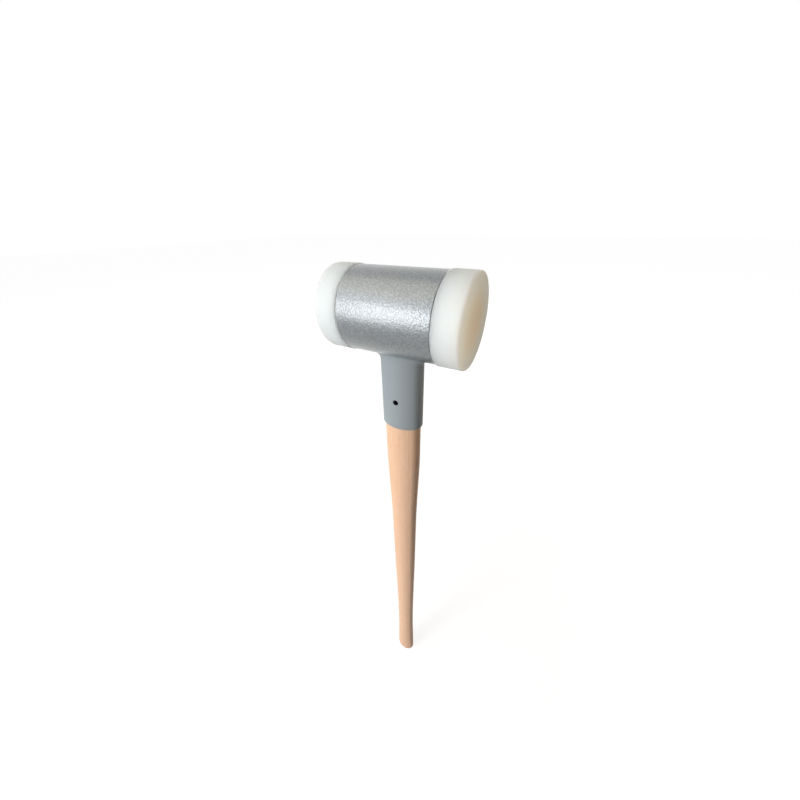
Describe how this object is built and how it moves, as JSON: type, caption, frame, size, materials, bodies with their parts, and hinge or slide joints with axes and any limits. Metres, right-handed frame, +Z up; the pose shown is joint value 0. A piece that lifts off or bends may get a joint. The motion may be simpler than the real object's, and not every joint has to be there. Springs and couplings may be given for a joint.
{
  "type": "dead blow hammer",
  "caption": "Long-handled dead blow hammer: a steel tube head holding loose shot between two pressed-in nylon faces, on an oval hickory handle pinned into a welded socket.",
  "frame": {"origin": "middle of the flat butt at the handle's lower end, which is the middle of the bottom of the whole hammer", "axes": "+Z up along the handle from the butt to the head, +X along the head towards the face that the picture shows, -Y towards the side that the picture shows"},
  "size_m": [0.1732, 0.1016, 1.0008],
  "materials": {
    "hammertone_steel": "silver-grey hammertone enamel, speckled and slightly dimpled",
    "socket_paint": "smooth satin silver-grey enamel",
    "nylon": "natural white cast nylon, satin and slightly translucent",
    "bare_steel": "turned bare steel",
    "steel_shot": "loose steel shot, dull",
    "spring_steel": "blackened spring steel",
    "hickory": "pale hickory, sanded and clear lacquered, satin"
  },
  "bodies": {
    "hammer": {"housing_tube": "hammertone_steel", "handle_socket": "socket_paint", "socket_weld": "socket_paint", "right_face_insert": "nylon", "left_face_insert": "nylon", "right_chamber_disc": "bare_steel", "left_chamber_disc": "bare_steel", "handle_spring_pin": "spring_steel", "handle": "hickory"},
    "shot": {"shot_charge": "steel_shot"}
  },
  "joints": [
    {"name": "shot_slide", "type": "slide", "parent": "hammer", "child": "shot", "axis": [1, 0, 0], "range_m": [-0.01, 0.01]}
  ]
}
